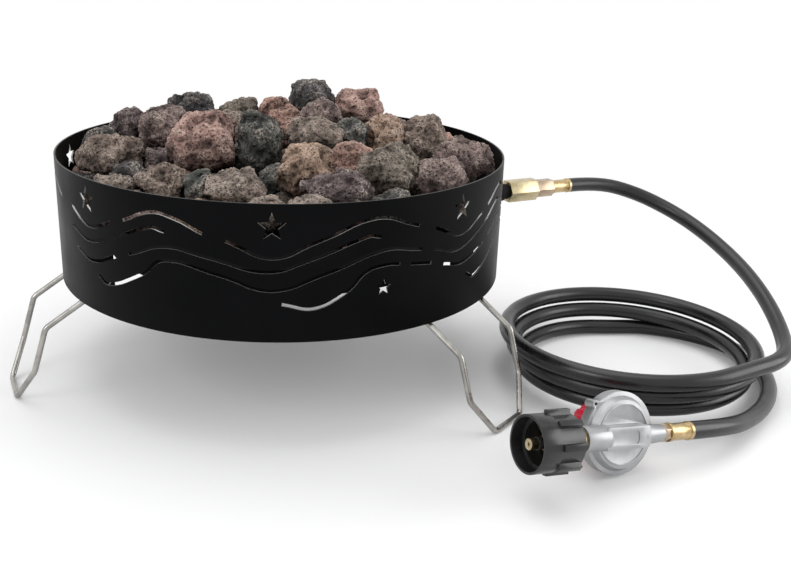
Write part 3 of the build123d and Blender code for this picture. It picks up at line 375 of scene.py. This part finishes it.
# the tint of the nearest listed stone, or any tint where none is near
def tintOf(centre, look, chance):
    nearest = None
    for tint in stoneTints.values():
        for place in tint["places"]:
            gap = (Vector(place) - centre).length
            if gap < look["reach"] and (nearest is None or gap < nearest[0]):
                nearest = (gap, tint["colour"])
    if nearest:
        return nearest[1]
    return stoneTints[chance.choice(sorted(stoneTints))]["colour"]


# roughens one stone, and gives back how far each point went out or in, in millimetres
def roughenStone(stone, voxel, look, textures):
    remesh = stone.modifiers.new("remesh", "REMESH")
    remesh.mode = "VOXEL"
    remesh.voxel_size = voxel
    wear = stone.modifiers.new("wear", "SMOOTH")
    wear.iterations = round(look["rounding"] * (look["voxel"] / voxel) ** 2) + look["leastRounding"]
    wear.factor = look["roundingFactor"]
    applyModifiers(stone)
    before = [(vertex.co.copy(), vertex.normal.copy()) for vertex in stone.data.vertices]
    for name, texture in textures.items():
        rough = stone.modifiers.new(name, "DISPLACE")
        rough.texture = texture
        rough.texture_coords = "LOCAL"
        rough.strength = look[name]["depth"]
        rough.mid_level = look[name]["level"]
    applyModifiers(stone)
    relief = []
    for vertex, (place, way) in zip(stone.data.vertices, before):
        vertex.co.z = min(vertex.co.z, cadBox[1][2])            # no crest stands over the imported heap
        relief.append(mmPerMetre * (vertex.co - place).dot(way))
    return relief


# a stone's tint with painted shade towards its underside, and the share of painted light in the alpha
def paintStone(stone, tint, shade, look):
    heights = [vertex.co.z for vertex in stone.data.vertices]
    half = (max(heights) - min(heights)) / 2
    middle = min(heights) + half
    colours = []
    for height in heights:
        share = ((height - middle) / half - look["shadeLow"]) / (look["shadeHigh"] - look["shadeLow"])
        lit = shade * (look["underside"] + (1 - look["underside"]) * min(max(share, 0), 1))
        colours += [tint[0] * lit, tint[1] * lit, tint[2] * lit, lit]
    paint = stone.data.attributes.new("stoneTintAndShade", "FLOAT_COLOR", "POINT")
    paint.data.foreach_set("color", colours)


def makeStones(group, look, textures):
    name = "lava_rocks_" + group
    copyNode(name)
    bpy.ops.mesh.separate(type="LOOSE")
    bpy.ops.object.mode_set(mode="OBJECT")
    stones = list(bpy.context.selected_objects)
    voxel = look["bedVoxel"] if group in buriedGroups else look["voxel"]
    for stone in stones:
        corners = [vertex.co for vertex in stone.data.vertices]
        centre = sum(corners, Vector()) / len(corners)
        across, along = round(centre.x * mmPerMetre), round(centre.y * mmPerMetre)
        chance = random.Random(across * look["seedStep"] + along + look["seed"])
        relief = roughenStone(stone, voxel, look, textures)
        tint = tintOf(centre, look, chance)
        paintStone(stone, tint, chance.uniform(*look["shades"]), look)
        carved = stone.data.attributes.new("stoneRelief", "FLOAT", "POINT")
        carved.data.foreach_set("value", relief)
    pickOnly(stones[0])
    for stone in stones:
        stone.select_set(True)
    bpy.ops.object.join()
    piece = bpy.context.view_layer.objects.active
    piece.name = "lavaStones" + group.capitalize()
    bpy.ops.object.shade_smooth()
    standFor(piece, name)
    return piece


roughTextures = stoneTextures(stoneLook)
stonePieces = [makeStones(group, stoneLook, roughTextures) for group in stoneGroups]
print("lava stones roughened,", [len(piece.data.polygons) for piece in stonePieces], "faces")


# shader helpers
def makeGroup(name, inputs, outputs):
    tree = bpy.data.node_groups.new(name, "ShaderNodeTree")
    for label, kind in inputs:
        tree.interface.new_socket(label, in_out="INPUT", socket_type=kind)
    for label, kind in outputs:
        tree.interface.new_socket(label, in_out="OUTPUT", socket_type=kind)
    return tree, tree.nodes.new("NodeGroupInput"), tree.nodes.new("NodeGroupOutput")


# a socket is linked, a colour or a number is set
def feed(tree, value, socket):
    if isinstance(value, bpy.types.NodeSocket):
        tree.links.new(value, socket)
    elif isinstance(value, tuple):
        socket.default_value = (*value, 1)
    else:
        socket.default_value = value


def mapRange(tree, value, low, high, outLow, outHigh, curve="LINEAR"):
    node = tree.nodes.new("ShaderNodeMapRange")
    node.interpolation_type = curve
    feed(tree, value, node.inputs["Value"])
    feed(tree, low, node.inputs["From Min"])
    feed(tree, high, node.inputs["From Max"])
    feed(tree, outLow, node.inputs["To Min"])
    feed(tree, outHigh, node.inputs["To Max"])
    return node.outputs["Result"]


mixSockets = {"mask": 0, "first": 6, "second": 7, "mixed": 2}     # a Mix node's own, where it mixes colours


def mixColour(tree, mask, first, second, blend="MIX"):
    node = tree.nodes.new("ShaderNodeMix")
    node.data_type = "RGBA"
    node.blend_type = blend
    feed(tree, mask, node.inputs[mixSockets["mask"]])
    feed(tree, first, node.inputs[mixSockets["first"]])
    feed(tree, second, node.inputs[mixSockets["second"]])
    return node.outputs[mixSockets["mixed"]]


def mathNode(tree, kind, first, second=0.5):        # Blender's own second value, where one is enough
    node = tree.nodes.new("ShaderNodeMath")
    node.operation = kind
    feed(tree, first, node.inputs[0])
    feed(tree, second, node.inputs[1])
    return node.outputs[0]


def vectorNode(tree, kind, first, second=None):
    node = tree.nodes.new("ShaderNodeVectorMath")
    node.operation = kind
    tree.links.new(first, node.inputs[0])
    if isinstance(second, bpy.types.NodeSocket):
        tree.links.new(second, node.inputs[1])
    elif second:
        node.inputs[1].default_value = second
    return node


def noiseNode(tree, vector, scale, detail):
    node = tree.nodes.new("ShaderNodeTexNoise")
    node.inputs["Detail"].default_value = detail
    tree.links.new(scale, node.inputs["Scale"])
    tree.links.new(vector, node.inputs["Vector"])
    return node.outputs["Fac"]


# grain: fine unevenness of a finish, and broad patches of it
grainDetail = {"fine": 2.0, "broad": 4.0}


def makeGrainGroup(detail):
    tree, given, made = makeGroup(
        "surfaceGrain",
        [("Vector", "NodeSocketVector"), ("Fine Scale", "NodeSocketFloat"),
         ("Broad Scale", "NodeSocketFloat")],
        [("Fine", "NodeSocketFloat"), ("Broad", "NodeSocketFloat")],
    )
    fine = noiseNode(tree, given.outputs["Vector"], given.outputs["Fine Scale"], detail["fine"])
    broad = noiseNode(tree, given.outputs["Vector"], given.outputs["Broad Scale"], detail["broad"])
    tree.links.new(fine, made.inputs["Fine"])
    tree.links.new(broad, made.inputs["Broad"])
    return tree


# pores: round holes, 1 in a hole's middle and 0 at its edge
def makePoreGroup():
    tree, given, made = makeGroup(
        "pores",
        [("Vector", "NodeSocketVector"), ("Scale", "NodeSocketFloat"), ("Size", "NodeSocketFloat")],
        [("Pores", "NodeSocketFloat")],
    )
    cells = tree.nodes.new("ShaderNodeTexVoronoi")
    tree.links.new(given.outputs["Vector"], cells.inputs["Vector"])
    tree.links.new(given.outputs["Scale"], cells.inputs["Scale"])
    depth = mapRange(tree, cells.outputs["Distance"], 0.0, given.outputs["Size"], 1.0, 0.0, "SMOOTHSTEP")
    tree.links.new(depth, made.inputs["Pores"])
    return tree


grainGroup = makeGrainGroup(grainDetail)
poreGroup = makePoreGroup()


def startMaterial(name):
    material = bpy.data.materials.new(name)
    material.use_nodes = True
    tree = material.node_tree
    coords = tree.nodes.new("ShaderNodeTexCoord")
    return material, tree, tree.nodes["Principled BSDF"], coords


def addGrain(tree, place, fineScale, broadScale):
    node = tree.nodes.new("ShaderNodeGroup")
    node.node_tree = grainGroup
    node.inputs["Fine Scale"].default_value = fineScale
    node.inputs["Broad Scale"].default_value = broadScale
    tree.links.new(place, node.inputs["Vector"])
    return node.outputs["Fine"], node.outputs["Broad"]


def addPores(tree, place, scale, size):
    node = tree.nodes.new("ShaderNodeGroup")
    node.node_tree = poreGroup
    node.inputs["Scale"].default_value = scale
    node.inputs["Size"].default_value = size
    tree.links.new(place, node.inputs["Vector"])
    return node.outputs["Pores"]


def addBump(tree, shader, height, strength, distance):
    node = tree.nodes.new("ShaderNodeBump")
    node.inputs["Strength"].default_value = strength
    node.inputs["Distance"].default_value = distance
    tree.links.new(height, node.inputs["Height"])
    tree.links.new(node.outputs["Normal"], shader.inputs["Normal"])


# plain finishes: two tones in broad patches, and a fine bump
finishes = {
    "powderCoat": {
        "dark": (0.0010, 0.0011, 0.0014), "light": (0.0020, 0.0021, 0.0026), "rough": (0.34, 0.46),
        "fine": 700, "broad": 18, "bump": 0.10, "bumpDepth": 0.0002, "metal": 0.0, "specular": 0.055,
    },
    "panPaint": {
        "dark": (0.004, 0.004, 0.004), "light": (0.009, 0.0085, 0.0085), "rough": (0.6, 0.8),
        "fine": 500, "broad": 30, "bump": 0.15, "bumpDepth": 0.0002, "metal": 0.0, "specular": 0.12,
    },
    "legSteel": {
        "dark": (0.27, 0.26, 0.245), "light": (0.43, 0.415, 0.39), "rough": (0.20, 0.34),
        "fine": 900, "broad": 60, "bump": 0.06, "bumpDepth": 0.0001, "metal": 1.0, "specular": 0.5,
    },
    "zincSteel": {
        "dark": (0.48, 0.48, 0.46), "light": (0.62, 0.61, 0.58), "rough": (0.30, 0.45),
        "fine": 900, "broad": 80, "bump": 0.06, "bumpDepth": 0.0001, "metal": 1.0, "specular": 0.5,
    },
    "burnerSteel": {
        "dark": (0.22, 0.19, 0.17), "light": (0.42, 0.40, 0.38), "rough": (0.35, 0.6),
        "fine": 600, "broad": 35, "bump": 0.10, "bumpDepth": 0.0002, "metal": 1.0, "specular": 0.5,
    },
    "couplingBrass": {
        "dark": (0.43, 0.36, 0.21), "light": (0.58, 0.50, 0.32), "rough": (0.24, 0.40),
        "fine": 800, "broad": 90, "bump": 0.06, "bumpDepth": 0.0001, "metal": 1.0, "specular": 0.5,
    },
    "nutBrass": {
        "dark": (0.38, 0.29, 0.20), "light": (0.52, 0.41, 0.31), "rough": (0.26, 0.42),
        "fine": 800, "broad": 90, "bump": 0.06, "bumpDepth": 0.0001, "metal": 1.0, "specular": 0.5,
    },
    "ferruleBrass": {
        "dark": (0.40, 0.29, 0.14), "light": (0.58, 0.44, 0.24), "rough": (0.22, 0.36),
        "fine": 800, "broad": 90, "bump": 0.05, "bumpDepth": 0.0001, "metal": 1.0, "specular": 0.5,
    },
    "castZinc": {
        "dark": (0.31, 0.315, 0.32), "light": (0.40, 0.405, 0.41), "rough": (0.36, 0.48),
        "fine": 1100, "broad": 60, "bump": 0.16, "bumpDepth": 0.0002, "metal": 0.85, "specular": 0.5,
    },
    "hoseRubber": {
        "dark": (0.005, 0.005, 0.0055), "light": (0.010, 0.010, 0.011), "rough": (0.24, 0.36),
        "fine": 800, "broad": 45, "bump": 0.12, "bumpDepth": 0.0002, "metal": 0.0, "specular": 0.45,
    },
    "innerRubber": {
        "dark": (0.02, 0.02, 0.02), "light": (0.04, 0.04, 0.04), "rough": (0.6, 0.75),
        "fine": 800, "broad": 60, "bump": 0.08, "bumpDepth": 0.0002, "metal": 0.0, "specular": 0.3,
    },
    "nutPlastic": {
        "dark": (0.008, 0.008, 0.0085), "light": (0.014, 0.014, 0.015), "rough": (0.24, 0.34),
        "fine": 1000, "broad": 60, "bump": 0.10, "bumpDepth": 0.0002, "metal": 0.0, "specular": 0.45,
    },
    "knobRed": {
        "dark": (0.38, 0.006, 0.026), "light": (0.52, 0.014, 0.040), "rough": (0.24, 0.36),
        "fine": 800, "broad": 60, "bump": 0.05, "bumpDepth": 0.0001, "metal": 0.0, "specular": 0.5,
    },
}
patchBand = (0.35, 0.65)        # of the broad grain, over which the tone changes
roughBand = (0.3, 0.7)


def plainFinish(name):
    look = finishes[name]
    material, tree, shader, coords = startMaterial(name)
    fine, broad = addGrain(tree, coords.outputs["Object"], look["fine"], look["broad"])
    patches = mapRange(tree, broad, *patchBand, 0.0, 1.0)
    tree.links.new(mixColour(tree, patches, look["dark"], look["light"]), shader.inputs["Base Color"])
    tree.links.new(mapRange(tree, broad, *roughBand, *look["rough"]), shader.inputs["Roughness"])
    shader.inputs["Metallic"].default_value = look["metal"]
    shader.inputs["Specular IOR Level"].default_value = look["specular"]
    addBump(tree, shader, fine, look["bump"], look["bumpDepth"])
    return material, tree, shader, coords


# the ring's paint, with bare metal where the waves and stars are cut through
cutEdgeLook = {
    "bare": (0.34, 0.34, 0.33),
    "metal": 0.7,
    "turned": (0.5, 0.75),      # how far a face looks outwards, from cut edge to painted side
    "rim": 0.15,                # share of bare metal on the rim and the foot
    "rimFrom": 0.0003,          # the share changes over this distance from the rim or the foot
    "rimTo": 0.0006,
}


def ringFinish(look):
    material, tree, shader, coords = plainFinish("powderCoat")
    place = coords.outputs["Object"]
    flat = vectorNode(tree, "MULTIPLY", place, (1, 1, 0))
    outward = vectorNode(tree, "NORMALIZE", flat.outputs[0])
    facing = vectorNode(tree, "DOT_PRODUCT", outward.outputs[0], coords.outputs["Normal"])
    sideways = mapRange(tree, mathNode(tree, "ABSOLUTE", facing.outputs["Value"]), *look["turned"], 1.0, 0.0)
    axes = tree.nodes.new("ShaderNodeSeparateXYZ")
    tree.links.new(place, axes.inputs[0])
    height = axes.outputs["Z"]
    low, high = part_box("fire_ring")
    rimBand = (high[2] - look["rimTo"], high[2] - look["rimFrom"])
    footBand = (low[2] + look["rimFrom"], low[2] + look["rimTo"])
    belowRim = mapRange(tree, height, *rimBand, 1.0, look["rim"])
    aboveFoot = mapRange(tree, height, *footBand, look["rim"], 1.0)
    edge = mathNode(tree, "MULTIPLY", sideways, mathNode(tree, "MULTIPLY", belowRim, aboveFoot))
    paint = shader.inputs["Base Color"].links[0].from_socket
    tree.links.new(mixColour(tree, edge, paint, look["bare"]), shader.inputs["Base Color"])
    tree.links.new(mapRange(tree, edge, 0.0, 1.0, 0.0, look["metal"]), shader.inputs["Metallic"])
    return material


# lava: tinted stone, with painted shade in its pits and hollows, dusted and painted lighter on its lit
# crests
lavaLook = {
    "fine": 650, "broad": 55,
    "patchBand": (0.30, 0.70), "patchShades": (0.65, 1.80),
    "pitBand": (-3.4, -1.0), "pitShade": 0.35,          # bands of relief are in millimetres
    # pale crests: dust, and a painted highlight where the stone is lit
    "crestBand": (-1.4, 0.8), "crest": (0.62, 0.53, 0.46),
    "dustBand": (0.44, 0.66), "dust": 0.62,
    # the dark colour below, in the pores and the holes, is painted shade
    "poreScale": 480, "poreSize": 0.50, "poreShade": 0.80,
    "holeScale": 230, "holeSize": 0.34, "holeShade": 0.90,
    "soot": (0.012, 0.010, 0.010),
    "rough": 0.92, "specular": 0.15,
    "poreDepth": -0.6, "holeDepth": -1.0, "grainHeight": 0.8,
    "bump": 1.0, "bumpDepth": 0.0014,
}


def attributeNode(tree, name):
    node = tree.nodes.new("ShaderNodeAttribute")
    node.attribute_name = name
    return node.outputs


def lavaFinish(look):
    material, tree, shader, coords = startMaterial("lavaStone")
    place = coords.outputs["Object"]
    # the stone's tint with its painted underside shade, and the share of painted light in the alpha
    tint = attributeNode(tree, "stoneTintAndShade")
    relief = attributeNode(tree, "stoneRelief")["Fac"]
    fine, broad = addGrain(tree, place, look["fine"], look["broad"])
    pores = addPores(tree, place, look["poreScale"], look["poreSize"])
    holes = addPores(tree, place, look["holeScale"], look["holeSize"])
    # tint, in patches, with painted shade in the hollows
    patches = mapRange(tree, broad, *look["patchBand"], *look["patchShades"])
    shaded = mixColour(tree, 1.0, tint["Color"], patches, "MULTIPLY")
    hollowShade = mapRange(tree, relief, *look["pitBand"], look["pitShade"], 1.0)
    hollowShaded = mixColour(tree, 1.0, shaded, hollowShade, "MULTIPLY")
    # pale dust and a painted highlight on the crests, only where the painted shade leaves them lit
    raised = mapRange(tree, relief, *look["crestBand"], 0.0, 1.0)
    dust = mathNode(tree, "MULTIPLY", raised, mapRange(tree, fine, *look["dustBand"], 0.0, look["dust"]))
    crest = mathNode(tree, "MULTIPLY", dust, tint["Alpha"])
    dustedAndHighlit = mixColour(tree, crest, hollowShaded, look["crest"])
    # then painted shade in the pores and the holes
    poreShaded = mixColour(tree, mapRange(tree, pores, 0.0, 1.0, 0.0, look["poreShade"]), dustedAndHighlit, look["soot"])
    holeShaded = mixColour(tree, mapRange(tree, holes, 0.0, 1.0, 0.0, look["holeShade"]), poreShaded, look["soot"])
    tree.links.new(holeShaded, shader.inputs["Base Color"])
    shader.inputs["Roughness"].default_value = look["rough"]
    shader.inputs["Specular IOR Level"].default_value = look["specular"]
    poreHeight = mathNode(tree, "MULTIPLY", pores, look["poreDepth"])
    holeHeight = mathNode(tree, "MULTIPLY", holes, look["holeDepth"])
    grainHeight = mathNode(tree, "MULTIPLY", fine, look["grainHeight"])
    height = mathNode(tree, "ADD", mathNode(tree, "ADD", poreHeight, holeHeight), grainHeight)
    addBump(tree, shader, height, look["bump"], look["bumpDepth"])
    return material


def dress(piece, material):
    piece.data.materials.clear()
    piece.data.materials.append(material)


nodeFinishes = {
    "panPaint": ["rock_pan", "leg_bracket_right", "leg_bracket_rear", "leg_bracket_left", "mixer_tube",
                 "air_shutter"],
    "legSteel": ["leg_right", "leg_rear", "leg_left"],
    "zincSteel": ["mixer_lock_nuts", "shutter_screw", "diaphragm_plate", "range_spring", "spring_button",
                  "adjusting_screw", "valve_lever", "lever_pin"],
    "burnerSteel": ["burner_ring", "burner_arms", "burner_hub", "burner_saddles", "burner_inlet"],
    "couplingBrass": ["gas_orifice", "inlet_coupling", "inlet_seat", "inlet_nipple", "nut_bush"],
    "nutBrass": ["hose_nut", "hose_stem_pit_end", "hose_stem_regulator_end"],
    "ferruleBrass": ["hose_ferrule_pit_end", "hose_ferrule_regulator_end"],
    "castZinc": ["regulator_body", "regulator_bonnet"],
    "innerRubber": ["diaphragm", "valve_pad", "nipple_seal"],
    "nutPlastic": ["cylinder_nut"],
    "knobRed": ["pressure_knob"],
}
for finishName, names in nodeFinishes.items():
    finish = plainFinish(finishName)[0]
    for name in names:
        dress(shown(name), finish)
dress(cadNodes["fire_ring"], ringFinish(cutEdgeLook))
dress(gasHose, plainFinish("hoseRubber")[0])
lavaMaterial = lavaFinish(lavaLook)
for piece in stonePieces:
    dress(piece, lavaMaterial)
print("finishes on")

# studio: pale floor that clears to white and glows faintly under the pit as painted light, white
# surroundings and soft lamps
studioLook = {
    "floorSize": 12.0,
    "floor": (0.86, 0.86, 0.865),
    "stain": (0.8, 0.8, 0.8),
    "stainBand": (0.3, 0.7),
    "stainMost": 0.04,
    "fine": 40,
    "broad": 0.8,
    "rough": 0.85,
    "specular": 0.1,
    "clearCentre": (0.14, 0.0, 0.0),
    "clearLeast": 0.10,         # the floor's share of glowing white under the pit: painted light that lifts the pit's shadow
    "clearBand": (0.36, 0.75),  # over this distance the floor clears to the white behind it
    "world": 0.80,
    "lamps": {
        "overhead": {"place": (-0.1, 0.3, 1.7), "aim": (0.05, 0.0, 0.1), "size": 1.6, "power": 13},
        "frontLeft": {"place": (-1.2, -1.3, 1.1), "aim": (0.0, 0.0, 0.15), "size": 0.9, "power": 10},
        "right": {"place": (1.5, -0.2, 0.55), "aim": (0.1, 0.0, 0.12), "size": 0.9, "power": 9},
    },
}


# 1 for rays that show the background: the camera's, and those off metal and through glass
def seenRays(tree):
    path = tree.nodes.new("ShaderNodeLightPath")
    seen = mathNode(tree, "MAXIMUM", path.outputs["Is Camera Ray"], path.outputs["Is Glossy Ray"])
    return mathNode(tree, "MAXIMUM", seen, path.outputs["Is Transmission Ray"])


def setFloor(look):
    bpy.ops.object.select_all(action="DESELECT")
    bpy.ops.mesh.primitive_plane_add(size=look["floorSize"], location=(0, 0, 0))
    floor = bpy.context.active_object
    floor.name = "studioFloor"
    material, tree, shader, coords = startMaterial("studioFloor")
    place = coords.outputs["Object"]
    broad = addGrain(tree, place, look["fine"], look["broad"])[1]
    stained = mapRange(tree, broad, *look["stainBand"], 0.0, look["stainMost"])
    tree.links.new(mixColour(tree, stained, look["floor"], look["stain"]), shader.inputs["Base Color"])
    shader.inputs["Roughness"].default_value = look["rough"]
    shader.inputs["Specular IOR Level"].default_value = look["specular"]
    span = vectorNode(tree, "DISTANCE", place, look["clearCentre"]).outputs["Value"]
    # glowing white share: the backdrop far off, and painted light near the pit that lifts its shadow
    clear = mapRange(tree, span, *look["clearBand"], look["clearLeast"], 1.0, "SMOOTHSTEP")
    white = tree.nodes.new("ShaderNodeEmission")
    mixed = tree.nodes.new("ShaderNodeMixShader")
    tree.links.new(mathNode(tree, "MULTIPLY", clear, seenRays(tree)), mixed.inputs[0])
    tree.links.new(shader.outputs[0], mixed.inputs[1])
    tree.links.new(white.outputs[0], mixed.inputs[2])
    tree.links.new(mixed.outputs[0], tree.nodes["Material Output"].inputs["Surface"])
    dress(floor, material)


def setLights(look):
    world = bpy.data.worlds.new("studioWorld")
    world.use_nodes = True
    scene.world = world
    tree = world.node_tree
    back = tree.nodes["Background"]
    back.inputs["Color"].default_value = (1, 1, 1, 1)
    tree.links.new(mapRange(tree, seenRays(tree), 0.0, 1.0, look["world"], 1.0), back.inputs["Strength"])
    for name, lamp in look["lamps"].items():
        data = bpy.data.lights.new(name, "AREA")
        data.energy = lamp["power"]
        data.size = lamp["size"]
        light = bpy.data.objects.new(name, data)
        scene.collection.objects.link(light)
        light.location = lamp["place"]
        aim = Vector(lamp["aim"]) - Vector(lamp["place"])
        light.rotation_euler = aim.to_track_quat("-Z", "Y").to_euler()


setFloor(studioLook)
setLights(studioLook)
print("studio lit")
